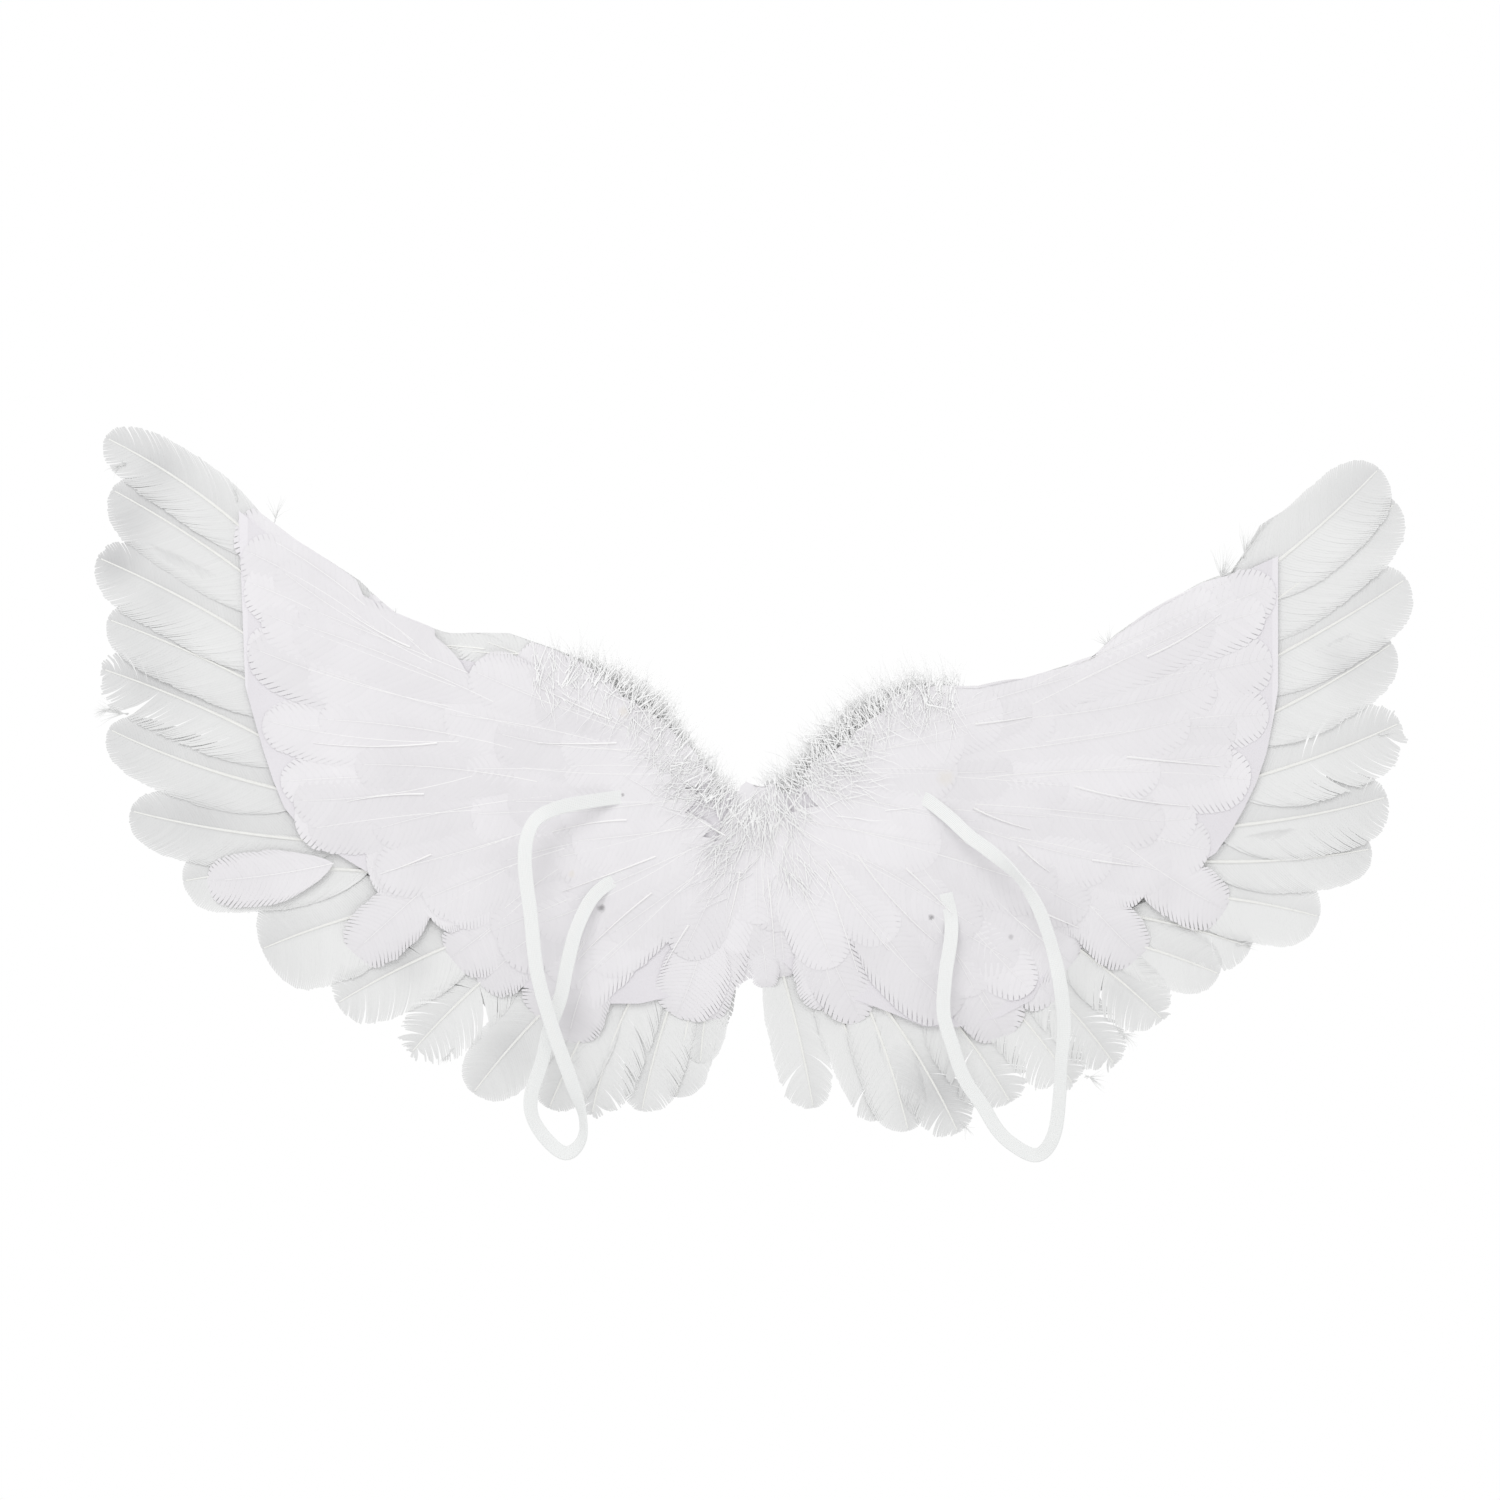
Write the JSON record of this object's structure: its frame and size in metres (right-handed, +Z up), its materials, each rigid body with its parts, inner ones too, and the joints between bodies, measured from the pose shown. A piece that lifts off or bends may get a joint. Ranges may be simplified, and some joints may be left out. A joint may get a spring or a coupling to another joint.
{
  "type": "feather costume wings",
  "caption": "White feather angel wings for a costume, on one stiff card, with down along the top and elastic arm loops on the wearer's side.",
  "frame": {"origin": "on the card's wearer face, in the middle between the two wings, where it lies against the back", "axes": "+X along the span to the right as seen from the wearer's side, +Z up as worn, and the wearer stands on the -Y side"},
  "size_m": [0.6612, 0.0493, 0.3649],
  "materials": {
    "card": "stiff white card with a faint lavender cast, matt",
    "flight_feather": "bleached white goose feather, soft sheen, paler shaft",
    "covert_feather": "small bleached white feathers, matt with downy bases",
    "lining_feather": "thin small white feathers glued over the card, half sheer",
    "down": "loose white down, matt",
    "elastic": "white flat woven elastic, fine ribs along it"
  },
  "bodies": {
    "root": {"base_card": "card", "left_flight_feather_01": "flight_feather", "left_flight_feather_02": "flight_feather", "left_flight_feather_03": "flight_feather", "left_flight_feather_04": "flight_feather", "left_flight_feather_05": "flight_feather", "left_flight_feather_06": "flight_feather", "left_flight_feather_07": "flight_feather", "left_flight_feather_08": "flight_feather", "left_flight_feather_09": "flight_feather", "left_flight_feather_10": "flight_feather", "left_flight_feather_11": "flight_feather", "left_flight_feather_12": "flight_feather", "left_flight_feather_13": "flight_feather", "left_flight_feather_14": "flight_feather", "left_flight_feather_15": "flight_feather", "left_flight_feather_16": "flight_feather", "left_flight_feather_17": "flight_feather", "right_flight_feather_01": "flight_feather", "right_flight_feather_02": "flight_feather", "right_flight_feather_03": "flight_feather", "right_flight_feather_04": "flight_feather", "right_flight_feather_05": "flight_feather", "right_flight_feather_06": "flight_feather", "right_flight_feather_07": "flight_feather", "right_flight_feather_08": "flight_feather", "right_flight_feather_09": "flight_feather", "right_flight_feather_10": "flight_feather", "right_flight_feather_11": "flight_feather", "right_flight_feather_12": "flight_feather", "right_flight_feather_13": "flight_feather", "right_flight_feather_14": "flight_feather", "right_flight_feather_15": "flight_feather", "right_flight_feather_16": "flight_feather", "right_flight_feather_17": "flight_feather", "right_flight_feather_18": "flight_feather", "left_lower_coverts": "covert_feather", "left_middle_coverts": "covert_feather", "left_upper_coverts": "covert_feather", "left_outer_lining": "lining_feather", "left_inner_lining": "lining_feather", "left_down_trim": "down", "left_strap": "elastic", "right_lower_coverts": "covert_feather", "right_middle_coverts": "covert_feather", "right_upper_coverts": "covert_feather", "right_outer_lining": "lining_feather", "right_inner_lining": "lining_feather", "right_down_trim": "down", "right_strap": "elastic"}
  },
  "joints": []
}
